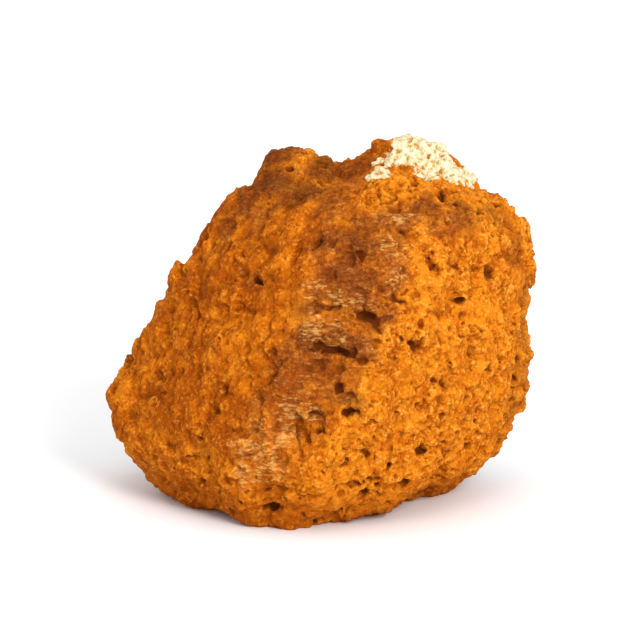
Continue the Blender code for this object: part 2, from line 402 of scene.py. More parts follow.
@dataclass(frozen=True)
class Hole:
    """A ragged hole on the front, placed in the photo's plane. Sizes in millimetres, turn in degrees."""

    across: float
    up: float
    half_length: float
    half_width: float
    depth: float
    turn: float = 0.0


@dataclass(frozen=True)
class PoreField:
    """Ragged pores at scattered seats, where a mask is. Sizes in metres."""

    mask: str
    spacing: float
    radius: float
    depth: float
    share: float
    seat: float

    def sink(self, points: np.ndarray, mask: np.ndarray) -> tuple[np.ndarray, np.ndarray]:
        """How deep the pores sink each point, and how much it belongs to a pore's rim.

        Args:
            points: One row per point, in metres.
            mask: The mask's value at each point.

        Returns:
            One depth per point, in metres, and one share of rim per point.
        """
        depth, rim = np.zeros(len(points)), np.zeros(len(points))
        near = np.flatnonzero(mask > LEAST_MASK)
        bent = bend(points[near], 0.8 * self.spacing, 0.45 * self.spacing, self.seat)
        bent = bend(bent, 0.6 * MM, 0.3 * MM, self.seat)
        seated = bent / self.spacing + self.seat
        found = [noise.voronoi(point) for point in seated.tolist()]
        away = np.array([distances[0] for distances, _ in found]) * self.spacing
        luck = np.array([0.5 + 0.5 * noise.cell(seats[0] * SEAT_SPREAD) for _, seats in found])
        crowd = smooth_step(-0.35, 0.3, fractal(points[near], 5.0 * MM, 2, self.seat))
        room = self.share * mask[near] * (0.5 + 0.6 * crowd)
        size = np.clip((room - luck) / self.share, 0.0, 1.0) ** 0.5
        reach = away / (self.radius * (0.45 + 0.55 * size))
        depth[near] = self.depth * (0.3 + 0.7 * size) * smooth_step(1.1, 0.35, reach) * (size > 0.02)
        rim[near] = smooth_step(0.85, 1.15, reach) * smooth_step(1.8, 1.25, reach) * size
        return depth, rim


@dataclass(frozen=True)
class ChipField:
    """Small tilted faces of a fracture, where a mask is. Sizes in metres."""

    mask: str
    spacing: float
    tilt: float
    seat: float

    def heights(self, points: np.ndarray, mask: np.ndarray) -> np.ndarray:
        """How high the faces raise each point.

        Args:
            points: One row per point, in metres.
            mask: The mask's value at each point.

        Returns:
            One height per point, in metres.
        """
        heights = np.zeros(len(points))
        near = np.flatnonzero(mask > LEAST_MASK)
        bent = bend(points[near], 0.9 * self.spacing, 0.3 * self.spacing, self.seat)
        seated = bent / self.spacing + self.seat
        seats = [noise.voronoi(point)[1][0] for point in seated.tolist()]
        slopes = np.array([noise.cell_vector(place * SEAT_SPREAD)[:] for place in seats]) * 2.0 - 1.0
        away = seated - np.array([place[:] for place in seats])
        rise = np.einsum("ij,ij->i", away, slopes) + 0.35 * slopes[:, 0]
        heights[near] = self.tilt * self.spacing * rise * mask[near]
        return heights


@dataclass(frozen=True)
class Nudge:
    """A soft shift of the form at a place in the photo's plane. All sizes in millimetres."""

    across: float
    up: float
    radius: float
    sideways: float
    rise: float


NUDGES = (
    Nudge(-14.2, 39.2, 8.0, -1.9, 0.4), Nudge(-19.0, 33.0, 7.0, -1.3, 1.1),
    Nudge(-23.4, 28.6, 6.5, -1.1, 0.9), Nudge(-27.0, 23.0, 5.0, -0.5, 0.4),
    Nudge(-15.0, 2.6, 6.0, 0.4, 1.4), Nudge(-9.0, 1.6, 4.0, 0.2, 0.6), Nudge(-20.8, 37.0, 4.0, 1.0, -0.3),
    Nudge(-20.0, 5.4, 5.0, 0.3, 0.6), Nudge(6.4, 52.2, 3.4, 0.0, -1.6), Nudge(-6.0, 54.0, 3.2, 0.0, -0.7),
    Nudge(27.0, 43.0, 5.0, 1.0, 0.9),
)
WORN_BAND = (
    Dab(2.1, 44.5, 3.6, 0.6), Dab(3.0, 40.0, 4.4, 0.9), Dab(8.0, 41.5, 4.6, 0.8), Dab(3.2, 35.5, 4.6),
    Dab(8.2, 36.0, 4.2, 0.85), Dab(1.4, 31.0, 4.6), Dab(6.4, 31.0, 3.8, 0.9), Dab(-0.6, 26.4, 4.6),
    Dab(4.4, 25.6, 3.6, 0.9), Dab(-3.4, 21.6, 4.6, 0.9), Dab(1.8, 20.8, 3.6, 0.75),
    Dab(-5.6, 16.8, 4.8, 0.6), Dab(-0.6, 16.6, 3.0, 0.6), Dab(-8.4, 11.5, 4.6, 0.4),
    Dab(-9.4, 7.0, 3.6, 0.3), Dab(-4.4, 9.6, 3.0, 0.3), Dab(12.0, 43.6, 3.6, 0.85),
    Dab(16.0, 43.5, 3.0, 0.7), Dab(20.0, 42.6, 2.4, 0.4), Dab(-8.4, 43.6, 2.8, 0.5),
    Dab(-13.0, 40.4, 2.4, 0.35), Dab(4.0, 48.0, 2.6, 0.6),
)
# Brown stains on the front; the seven dabs at across 24.6 mm and beyond, along the right edge, are painted
# shade
BROWN_PATCHES_AND_RIGHT_EDGE_SHADE = (
    Dab(0.4, 40.6, 2.4, 0.5), Dab(4.8, 39.6, 2.8, 0.55), Dab(-1.6, 26.8, 1.9, 0.5),
    Dab(2.4, 26.0, 2.4, 0.65), Dab(5.6, 30.2, 2.2, 0.6), Dab(-9.2, 34.8, 1.7, 0.55),
    Dab(4.8, 17.6, 1.9, 0.6), Dab(-0.4, 16.4, 1.4, 0.5), Dab(27.6, 38.6, 2.8, 0.45),
    Dab(28.4, 33.0, 2.8, 0.5), Dab(28.2, 27.4, 2.8, 0.5), Dab(27.8, 22.0, 2.8, 0.5),
    Dab(27.0, 17.0, 2.6, 0.45), Dab(24.6, 11.6, 2.4, 0.35), Dab(26.0, 43.2, 2.4, 0.4),
    Dab(-17.0, 11.0, 1.8, 0.35), Dab(7.4, 35.4, 2.0, 0.35), Dab(1.8, 34.6, 2.2, 0.35),
    Dab(0.6, 22.4, 1.8, 0.4), Dab(-6.6, 48.6, 4.0), Dab(-3.0, 47.0, 4.0), Dab(-10.2, 45.8, 3.2, 0.8),
    Dab(0.6, 49.6, 3.4, 0.9), Dab(-5.6, 52.4, 3.0), Dab(-12.4, 42.6, 2.4, 0.6), Dab(5.0, 50.0, 2.8, 0.7),
    Dab(1.0, 46.0, 2.6, 0.6), Dab(15.0, 44.8, 2.2, 0.6), Dab(19.6, 44.2, 2.6, 0.7),
    Dab(23.4, 44.0, 2.0, 0.5),
)
PALE_PATCH = (
    Dab(11.4, 52.2, 3.3), Dab(14.6, 51.2, 3.3), Dab(18.4, 50.2, 2.9), Dab(8.3, 49.6, 1.9),
    Dab(20.4, 48.9, 1.8), Dab(12.4, 54.2, 2.8), Dab(16.6, 52.9, 2.6),
)
PALE_SCRATCHES = (
    Dab(-1.4, 33.2, 1.8, 0.6), Dab(2.2, 31.6, 2.2, 0.8), Dab(-1.0, 28.2, 2.4, 0.9),
    Dab(1.6, 27.4, 2.4, 0.8), Dab(-3.8, 16.7, 2.4, 1.0), Dab(-1.6, 16.4, 1.7, 0.9),
    Dab(-8.6, 10.8, 2.8, 0.9), Dab(-6.6, 8.6, 2.4, 0.8), Dab(10.4, 43.8, 2.6, 0.8),
    Dab(10.2, 39.4, 2.4, 0.7), Dab(10.6, 34.8, 2.2, 0.6), Dab(-21.6, 32.6, 1.6, 0.3),
    Dab(4.6, 31.4, 1.6, 0.7), Dab(13.6, 41.6, 1.8, 0.5), Dab(-11.0, 36.8, 2.0, 0.3),
    Dab(-10.4, 8.0, 2.4, 0.8), Dab(-5.0, 12.6, 2.4, 0.8), Dab(-8.8, 14.2, 2.2, 0.7),
    Dab(-11.2, 11.6, 1.8, 0.7), Dab(14.4, 42.6, 1.6, 0.6),
)
HOLES = (
    Hole(6.2, 29.6, 2.6, 0.9, 1.5, -22), Hole(7.4, 29.0, 1.2, 1.1, 1.2),
    Hole(2.2, 24.9, 4.6, 0.8, 1.4, -6), Hole(5.6, 23.6, 2.4, 0.6, 0.9, -12),
    Hole(-0.2, 39.6, 0.55, 2.2, 0.8, 6), Hole(4.4, 38.2, 0.5, 1.5, 0.7, -4),
    Hole(6.0, 38.4, 0.5, 1.3, 0.6, 10), Hole(-8.9, 34.7, 1.5, 0.6, 1.1, -8),
    Hole(1.4, 31.0, 2.6, 0.4, 0.5, -4), Hole(0.4, 27.0, 3.0, 0.4, 0.5, -3),
    Hole(2.6, 19.8, 0.6, 1.2, 0.9), Hole(-3.0, 12.6, 0.5, 3.4, 0.6, 4), Hole(15.8, 36.2, 0.9, 0.7, 0.9),
    Hole(17.4, 36.3, 0.6, 0.8, 0.8), Hole(23.5, 35.4, 0.9, 1.1, 1.0), Hole(25.3, 34.5, 0.8, 0.6, 0.8),
    Hole(27.5, 30.9, 0.8, 0.6, 0.8), Hole(13.2, 25.4, 0.8, 1.0, 1.0),
    Hole(15.9, 20.5, 1.1, 0.7, 1.0, -20), Hole(17.2, 20.4, 0.6, 0.6, 0.8),
    Hole(23.4, 22.6, 0.9, 0.6, 0.9), Hole(21.1, 24.3, 0.7, 0.9, 0.9), Hole(-0.4, 16.0, 1.1, 0.6, 0.9),
    Hole(4.3, 16.2, 1.2, 0.7, 1.0), Hole(4.6, 18.6, 0.7, 1.0, 0.9), Hole(7.0, 11.9, 1.0, 0.6, 0.9, -10),
    Hole(14.1, 11.1, 0.8, 0.9, 1.1), Hole(17.1, 10.7, 0.9, 1.1, 1.1), Hole(4.3, 6.5, 1.1, 0.7, 1.0),
    Hole(7.0, 7.1, 1.1, 0.7, 1.0), Hole(11.5, 6.4, 1.0, 0.6, 0.9, 15),
    Hole(0.0, 13.8, 1.2, 0.6, 0.8, -14), Hole(-17.0, 12.6, 1.0, 0.6, 0.6),
    Hole(-12.4, 7.2, 0.7, 0.9, 0.8), Hole(-6.2, 3.4, 1.3, 0.8, 1.1, -8), Hole(-12.4, 39.2, 0.7, 1.0, 0.9),
    Hole(-10.7, 38.4, 0.6, 0.6, 0.7), Hole(-6.4, 24.7, 0.5, 0.6, 0.5), Hole(-11.9, 30.7, 0.6, 0.5, 0.5),
    Hole(8.4, 47.2, 0.7, 0.6, 0.9), Hole(10.2, 46.2, 0.6, 0.6, 0.8), Hole(12.6, 47.4, 0.8, 0.6, 0.9),
    Hole(14.4, 46.2, 0.6, 0.5, 0.8), Hole(17.0, 46.6, 0.8, 0.6, 0.9), Hole(19.4, 45.4, 0.6, 0.7, 0.8),
    Hole(-2.0, 46.8, 0.7, 0.8, 0.9), Hole(-0.6, 48.8, 0.9, 0.6, 0.8), Hole(-9.8, 47.6, 0.8, 0.6, 0.7),
    Hole(24.4, 45.0, 0.9, 0.8, 0.9), Hole(-20.8, 21.8, 1.6, 0.5, 0.4, -30),
    Hole(-14.6, 16.4, 0.6, 0.8, 0.6),
)


@dataclass
class ChagaChunk:
    """The whole chunk: one grown piece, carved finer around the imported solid."""

    node_name: str = "chaga_chunk"
    form_voxel: float = 0.6 * MM
    form_passes: int = 6
    skin_voxel: float = 0.25 * MM
    skin_passes: int = 2
    most_triangles: int = 198_000
    pale_rise: float = 0.35 * MM
    crust_sink: float = 0.5 * MM
    crust_fade: float = 0.5 * MM
    plates_inset: float = 5.0 * MM
    rind_width: float = 4.0 * MM
    left_setback: float = 2.5 * MM
    left_range: tuple[float, float] = (-18.0 * MM, -28.0 * MM)
    top_setback: float = 3.0 * MM
    top_range: tuple[float, float] = (42.0 * MM, 48.0 * MM)
    spongy_facing: tuple[float, float] = (-0.45, 0.25)
    spongy_heights: tuple[float, float] = (16.0 * MM, 7.0 * MM)
    facing_passes: int = 60
    hole_bends: tuple[tuple[float, float], ...] = ((1.2 * MM, 0.7 * MM), (0.6 * MM, 0.4 * MM))
    hole_reach: float = 4.0 * MM
    darkest_depth: float = 0.9 * MM
    lip: float = 0.14 * MM
    deepest_lip: float = 0.15 * MM
    fine_passes: int = 5
    broad_passes: int = 45
    broad_share: float = 0.35
    full_hollow: float = 0.22 * MM
    full_crest: float = 0.2 * MM
    for_shape_alone: tuple[str, ...] = ("plates", "pale", "flesh")
    most_proud: float = 1.2 * MM
    reliefs: tuple[Relief, ...] = (
        Relief("knots", Pattern.CLOUDS, 3.6 * MM, 1.1 * MM, "rough", octaves=2),
        Relief("crumble", Pattern.CLOUDS, 1.5 * MM, 0.65 * MM, "rough", octaves=2),
        Relief("web", Pattern.WEB, 2.6 * MM, -0.9 * MM, "spongy", octaves=1),
        Relief("grooves", Pattern.CLOUDS, 1.3 * MM, 0.8 * MM, "smooth", stretch=(0.9, 0.9, 2.6)),
        Relief("fibres", Pattern.CLOUDS, 1.0 * MM, 1.0 * MM, "worn", stretch=(2.6, 2.6, 0.75), octaves=1),
        Relief("lumps", Pattern.GRAINS, 1.7 * MM, -0.5 * MM, "rough"),
        Relief("crumbs", Pattern.GRAINS, 0.8 * MM, -0.17 * MM, "flesh"),
        Relief("chalk", Pattern.GRAINS, 0.9 * MM, -0.55 * MM, "pale"),
        Relief("chalk_knobs", Pattern.CLOUDS, 2.4 * MM, 1.3 * MM, "pale", octaves=3),
        Relief("block_cracks", Pattern.CRACKS, 6.4 * MM, 1.1 * MM, "crust", crack_half_width=0.5 * MM),
        Relief("small_cracks", Pattern.CRACKS, 2.6 * MM, 0.4 * MM, "crust", crack_half_width=0.22 * MM),
        Relief("strata", Pattern.CLOUDS, 0.9 * MM, 0.5 * MM, "crust", stretch=(2.8, 2.8, 0.8), octaves=2),
    )
    chips: tuple[ChipField, ...] = (
        ChipField("flesh", 5.2 * MM, 0.16, 2.2),
        ChipField("flesh", 2.3 * MM, 0.22, 4.4),
        ChipField("plates", 7.5 * MM, 0.27, 6.6),
        ChipField("plates", 3.0 * MM, 0.16, 8.8),
    )
    pores: tuple[PoreField, ...] = (
        PoreField("spongy", 1.3 * MM, 0.55 * MM, 0.5 * MM, 0.85, 3.1),
        PoreField("spongy", 2.0 * MM, 0.8 * MM, 0.8 * MM, 0.85, 7.7),
        PoreField("spongy", 3.4 * MM, 1.0 * MM, 0.9 * MM, 0.6, 1.3),
        PoreField("flesh", 1.6 * MM, 0.6 * MM, 0.4 * MM, 0.22, 5.9),
    )

    def build(self) -> bpy.types.Object:
        """Carves the piece.

        Returns:
            The finished piece, with its masks as attributes.
        """
        self.sculpt = Sculpt("chaga_surface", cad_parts[self.node_name])
        self.sculpt.even_out(self.form_voxel, self.form_passes)
        self.photo = PhotoPlane(self.sculpt)
        self.nudge_form()
        self.sculpt.even_out(self.skin_voxel, self.skin_passes)
        self.photo = PhotoPlane(self.sculpt)
        self.plan_masks()
        points = self.sculpt.points()
        heights = sum(field.heights(points, self.masks[field.mask]) for field in self.chips)
        heights += self.masks["pale"] * self.pale_rise - self.masks["plates"] * self.crust_sink
        self.sculpt.push(self.sculpt.spread(heights, 2))
        for relief in self.reliefs:
            self.sculpt.raise_relief(relief)
        self.sink_holes()
        self.sculpt.untangle(rounds=5)
        self.set_down()
        self.store_masks()
        self.sculpt.thin_to(self.most_triangles)
        self.sculpt.untangle(rounds=6)
        self.set_down()
        bpy.ops.object.shade_smooth()
        return self.sculpt.piece

    def nudge_form(self) -> None:
        """Shifts the form where its outline strays from the photo's."""
        points = self.sculpt.points()
        moves = np.zeros_like(points)
        for nudge in NUDGES:
            middle, _ = self.photo.place(nudge.across, nudge.up)
            away = np.linalg.norm(points - np.array(middle), axis=1) / (nudge.radius * MM)
            way = Vector((nudge.sideways, 0, 0)) + self.photo.upward * nudge.rise
            moves += smooth_step(1.3, 0.1, away)[:, None] * np.array(way) * MM
        self.sculpt.set_points(points + moves)

    def past_crust_edge(self, points: np.ndarray) -> np.ndarray:
        """How far each point is past the crust's edge, in metres, and negative on the flesh.

        Args:
            points: One row per point, in metres.

        Returns:
            One value per point.
        """
        size = np.array(CAD_BOX[1] - CAD_BOX[0])
        carved = points * np.array(CARVED_SIZE) / size + np.array(CARVED_MIDDLE)
        wander = fractal(carved, CRUST_EDGE_WANDER_SPACING, 3) * CRUST_EDGE_WANDER
        jag = fractal(points, 4.5 * MM, 4, seat=14.6) * 1.8 * MM
        setback = self.left_setback * smooth_step(*self.left_range, points[:, 0])
        setback += self.top_setback * smooth_step(*self.top_range, points[:, 2])
        return carved[:, 1] + wander + jag - CRUST_EDGE_Y - setback

    def dabbed(self, points: np.ndarray, dabs: tuple[Dab, ...], ragged: float) -> np.ndarray:
        """A mask that is soft round patches on the front.

        Args:
            points: One row per point, in metres.
            dabs: The patches.
            ragged: How far noise moves the patches' edges, in metres.

        Returns:
            One value per point, from 0 to 1.
        """
        mask = np.zeros(len(points))
        torn = fractal(points, 2.4 * MM, 3, seat=1.5) * ragged
        for dab in dabs:
            middle, _ = self.photo.place(dab.across, dab.up)
            away = np.linalg.norm(points - np.array(middle), axis=1) + torn
            radius = dab.radius * MM
            mask = np.maximum(mask, dab.strength * smooth_step(1.35 * radius, 0.45 * radius, away))
        return mask

    def plan_masks(self) -> None:
        """Works out where each kind of surface is."""
        points = self.sculpt.points()
        facing = self.sculpt.spread(self.sculpt.normals(), self.facing_passes)
        facing /= np.linalg.norm(facing, axis=1)[:, None]
        past = self.past_crust_edge(points)
        crust = smooth_step(-self.crust_fade, self.crust_fade, past)
        flesh = 1.0 - crust
        plates = smooth_step(0.0, self.plates_inset, past)
        frayed = past + fractal(points, 2.8 * MM, 2, seat=3.3) * 1.8 * MM
        rind = smooth_step(-self.rind_width, 0.0, frayed)
        worn = self.dabbed(points, WORN_BAND, 1.8 * MM) * flesh
        near_pale = self.dabbed(bend(points, 0.7 * MM, 0.5 * MM), PALE_PATCH, 1.5 * MM) * flesh
        pale = smooth_step(0.35, 0.65, near_pale + 0.25 * fractal(points, 1.0 * MM, 2, seat=9.2)) * flesh
        side = smooth_step(*self.spongy_facing, facing[:, 0])
        low = smooth_step(*self.spongy_heights, points[:, 2])
        spongy = np.maximum(side, 0.6 * low) * flesh * (1.0 - 0.7 * worn)
        self.masks = {
            "crust": crust,
            "plates": plates,
            "worn": worn,
            "pale": pale,
            "spongy": spongy,
            "flesh": flesh * (1.0 - 0.8 * pale),
            "near_pale": near_pale,
            "rind": rind * flesh,
            "scratch": self.dabbed(points, PALE_SCRATCHES, 0.9 * MM) * flesh,
            "brown": self.dabbed(points, BROWN_PATCHES_AND_RIGHT_EDGE_SHADE, 1.2 * MM) * flesh,
        }
        relief_masks = {name: self.masks[name] for name in ("crust", "worn", "spongy", "pale")}
        relief_masks["flesh"] = flesh
        relief_masks["rough"] = np.maximum(spongy, 0.25) * flesh * (1.0 - 0.5 * worn)
        relief_masks["smooth"] = np.clip(flesh - spongy - worn, 0.0, 1.0)
        for name, weights in relief_masks.items():
            self.sculpt.set_mask(name, weights)

    def sink_holes(self) -> None:
        """Sinks the holes that the photo shows, and scattered pores."""
        points = self.sculpt.points()
        normals = self.sculpt.normals()
        depth = np.zeros(len(points))
        rim = np.zeros(len(points))
        bent = bend(bend(points, *self.hole_bends[0]), *self.hole_bends[1])
        for hole in HOLES:
            middle, normal = self.photo.place(hole.across, hole.up)
            turn = math.radians(hole.turn)
            level = Vector((0, 0, 1)).cross(normal).normalized()
            first = level * math.cos(turn) + normal.cross(level) * math.sin(turn)
            away = bent - bend(np.array([middle]), *self.hole_bends[0])
            along = away @ np.array(first) / (hole.half_length * MM)
            beside = away @ np.array(normal.cross(first)) / (hole.half_width * MM)
            through = away @ np.array(normal) / self.hole_reach
            reach = np.sqrt(along**2 + beside**2 + through**2)
            depth = np.maximum(depth, hole.depth * MM * smooth_step(1.25, 0.3, reach))
            rim = np.maximum(rim, 0.8 * smooth_step(1.0, 1.3, reach) * smooth_step(2.0, 1.4, reach))
        for field in self.pores:
            sunk, raised = field.sink(points, self.masks[field.mask])
            depth = np.maximum(depth, sunk)
            rim = np.maximum(rim, raised)
        depth *= 1.0 + 0.6 * fractal(points, 0.8 * MM, 2, seat=6.1)
        rim *= depth < self.deepest_lip
        self.sculpt.set_points(points + normals * (self.lip * rim - depth)[:, None])
        self.masks["pit"] = np.clip(depth / self.darkest_depth, 0.0, 1.0)
        self.masks["rim"] = rim

    def set_down(self) -> None:
        """Keeps the piece above the surface that it rests on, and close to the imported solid's box."""
        points = self.sculpt.points()
        low, high = (np.array(corner) for corner in CAD_BOX)
        points = np.clip(points, low - self.most_proud, high + self.most_proud)
        points[:, 2] = np.maximum(points[:, 2], 0.0)
        self.sculpt.set_points(points)

    def store_masks(self) -> None:
        """Keeps the masks, the hollows and the crests for the material: the hollows for painted shade, the
        crests for painted highlight.
        """
        points = self.sculpt.points()
        normals = self.sculpt.normals()
        fine, broad = (
            np.einsum("ij,ij->i", self.sculpt.spread(points, passes) - points, normals)
            for passes in (self.fine_passes, self.broad_passes)
        )
        # Concave places, which the material darkens as painted shade
        self.masks["hollow"] = smooth_step(0.0, self.full_hollow, fine + self.broad_share * broad)
        # Convex places, which the material lightens as painted highlight
        self.masks["crest"] = smooth_step(0.0, self.full_crest, -fine - self.broad_share * broad)
        self.sculpt.piece.vertex_groups.clear()
        for name, values in self.masks.items():
            if name not in self.for_shape_alone:
                self.sculpt.store(name, values)
        log.info("masks: %s", {name: round(float(m.mean()), 3) for name, m in self.masks.items()})


class Bench:
    """Adds nodes to one node tree, and joins them."""

    def __init__(self, tree: bpy.types.NodeTree) -> None:
        """Keeps the tree to work on."""
        self.tree = tree

    def node(self, kind: str, **settings: object) -> bpy.types.Node:
        """Adds a node.

        Args:
            kind: The node's type, without the ShaderNode that it starts with.
            **settings: The node's properties and their values.

        Returns:
            The node.
        """
        node = self.tree.nodes.new("ShaderNode" + kind)
        for key, value in settings.items():
            setattr(node, key, value)
        return node

    def feed(self, socket: Socket, source: object) -> None:
        """Joins a source to an input, or sets the input to a plain value.

        Args:
            socket: The input.
            source: A socket, or a plain value.
        """
        if isinstance(source, bpy.types.NodeSocket):
            self.tree.links.new(source, socket)
        else:
            socket.default_value = source

    def math(self, operation: str, first: object, second: object = 0.0) -> Socket:
        """One step of arithmetic on two values.

        Args:
            operation: The Math node's operation.
            first: The first value.
            second: The second value.

        Returns:
            The result.
        """
        node = self.node("Math", operation=operation)
        self.feed(node.inputs[0], first)
        self.feed(node.inputs[1], second)
        return node.outputs[0]

    def times(self, first: object, second: object) -> Socket:
        """The product of two values."""
        return self.math("MULTIPLY", first, second)

    def plus(self, first: object, second: object) -> Socket:
        """The sum of two values."""
        return self.math("ADD", first, second)

    def less(self, first: object, second: object) -> Socket:
        """The first value less the second."""
        return self.math("SUBTRACT", first, second)

    def step(self, value: object, low: float, high: float, most: float = 1.0) -> Socket:
        """A smooth step of a value.

        Args:
            value: The value.
            low: Where the result is 0.
            high: Where the result is the most. It may be under low, for a step down.
            most: The highest result.

        Returns:
            The stepped value.
        """
        node = self.node("MapRange", interpolation_type="SMOOTHSTEP")
        self.feed(node.inputs["Value"], value)
        for name, limit in (("From Min", low), ("From Max", high), ("To Min", 0.0), ("To Max", most)):
            node.inputs[name].default_value = limit
        return node.outputs[0]

    def mix(self, share: object, first: object, second: object) -> Socket:
        """A colour between two colours.

        Args:
            share: How much of the second one there is, from 0 to 1.
            first: One colour.
            second: The other colour.

        Returns:
            The mixed colour.
        """
        node = self.node("Mix", data_type="RGBA")
        for socket, source in zip((0, 6, 7), (share, first, second)):
            self.feed(node.inputs[socket], (*source, 1.0) if isinstance(source, tuple) else source)
        return node.outputs[2]

    def blend(self, share: object, first: object, second: object) -> Socket:
        """A value between two values.

        Args:
            share: How much of the second one there is, from 0 to 1.
            first: One value.
            second: The other value.

        Returns:
            The value between them.
        """
        node = self.node("Mix", data_type="FLOAT")
        for socket, source in zip(node.inputs[0:1] + node.inputs[2:4], (share, first, second)):
            self.feed(socket, source)
        return node.outputs[0]

    def ramp(self, value: object, colours: tuple[tuple[float, Colour], ...]) -> Socket:
        """The colour that a value has on a scale of colours.

        Args:
            value: The value, from 0 to 1.
            colours: Pairs of a place on the scale and the colour there.

        Returns:
            The colour.
        """
        node = self.node("ValToRGB")
        stops = node.color_ramp.elements
        while len(stops) < len(colours):
            stops.new(0.5)
        for stop, (place, colour) in zip(stops, colours):
            stop.position = place
            stop.color = (*colour, 1.0)
        self.feed(node.inputs[0], value)
        return node.outputs[0]

    def noise(self, where: object, spacing: float, detail: float = 3.0, roughness: float = 0.55) -> Socket:
        """Fractal noise.

        Args:
            where: The place, in millimetres.
            spacing: Size of the coarsest lumps, in millimetres.
            detail: How many finer sizes there are.
            roughness: How strong the finer sizes are.

        Returns:
            The noise, from 0 to 1.
        """
        node = self.node("TexNoise")
        self.feed(node.inputs["Vector"], where)
        node.inputs["Scale"].default_value = 1.0 / spacing
        node.inputs["Detail"].default_value = detail
        node.inputs["Roughness"].default_value = roughness
        return node.outputs[0]

    def cells(self, where: object, spacing: float) -> bpy.types.Node:
        """Cells around scattered points.

        Args:
            where: The place, in millimetres.
            spacing: Size of the cells, in millimetres.

        Returns:
            The node, whose outputs are the distance to a cell's point and the cell's colour.
        """
        node = self.node("TexVoronoi")
        self.feed(node.inputs["Vector"], where)
        node.inputs["Scale"].default_value = 1.0 / spacing
        return node

    def grains(self, where: object, spacing: float) -> Socket:
        """One random value for each grain.

        Args:
            where: The place, in millimetres.
            spacing: Size of the grains, in millimetres.

        Returns:
            The value, from 0 to 1.
        """
        parts = self.node("SeparateColor")
        self.feed(parts.inputs[0], self.cells(where, spacing).outputs["Color"])
        return parts.outputs[0]

    def stretched(self, where: object, scale: tuple[float, float, float]) -> Socket:
        """The place with each axis scaled, for a pattern that runs one way.

        Args:
            where: The place.
            scale: The scale of each axis.

        Returns:
            The scaled place.
        """
        node = self.node("VectorMath", operation="MULTIPLY")
        self.feed(node.inputs[0], where)
        node.inputs[1].default_value = scale
        return node.outputs[0]

    def attribute(self, name: str) -> Socket:
        """One of the piece's masks."""
        return self.node("Attribute", attribute_name=name).outputs["Fac"]


class Group(Bench):
    """A node group with named inputs and outputs, that can be placed in a material."""

    KINDS = {"Place": "NodeSocketVector", "Colour": "NodeSocketColor"}  # others are values

    def __init__(self, name: str, inputs: tuple[str, ...], outputs: tuple[str, ...]) -> None:
        """Makes the group's tree, its sockets and its two ends.

        Args:
            name: The group's name.
            inputs: The names of its inputs.
            outputs: The names of its outputs.
        """
        super().__init__(bpy.data.node_groups.new(name, "ShaderNodeTree"))
        for names, way in ((inputs, "INPUT"), (outputs, "OUTPUT")):
            for socket in names:
                kind = self.KINDS.get(socket, "NodeSocketFloat")
                self.tree.interface.new_socket(socket, in_out=way, socket_type=kind)
        self.ins = self.tree.nodes.new("NodeGroupInput").outputs
        self.outs = self.tree.nodes.new("NodeGroupOutput").inputs

    def place_in(self, bench: Bench, **sources: object) -> bpy.types.bpy_prop_collection:
        """Places the group in another tree.

        Args:
            bench: The tree to place it in.
            **sources: What feeds each input, by the input's name.

        Returns:
            The group node's outputs.
        """
        node = bench.node("Group", node_tree=self.tree)
        for name, source in sources.items():
            bench.feed(node.inputs[name], source)
        return node.outputs


def crumb_group() -> Group:
    """Builds the group of fine crumbs and pores that every surface of the chunk has.

    Returns:
        The node group.
    """
    group = Group("crumbs", ("Place",), ("Tint", "Height", "Grain"))
    place = group.ins["Place"]
    crumbs = group.cells(place, 0.55).outputs["Distance"]
    specks = group.noise(place, 0.42, 4.0, 0.7)
    pores = group.step(group.noise(place, 0.75, 2.0), 0.42, 0.3)
    grain = group.plus(group.grains(place, 0.34), group.grains(place, 0.8))
    grain = group.times(grain, 0.5)
    group.feed(group.outs["Grain"], grain)
    # The tint follows the height below: pores and cell edges darker, raised specks and grains lighter, so
    # it is painted shade and highlight over random tone
    tint_and_shade = group.plus(specks, group.times(crumbs, -0.25))
    tint_and_shade = group.less(tint_and_shade, group.times(pores, 0.16))
    tint_and_shade = group.plus(tint_and_shade, group.times(group.less(grain, 0.5), 0.32))
    group.feed(group.outs["Tint"], tint_and_shade)
    height = group.less(group.times(specks, 0.9), group.times(crumbs, 0.5))
    height = group.less(height, group.times(pores, 0.35))
    height = group.plus(height, group.times(grain, 0.45))
    group.feed(group.outs["Height"], height)
    return group


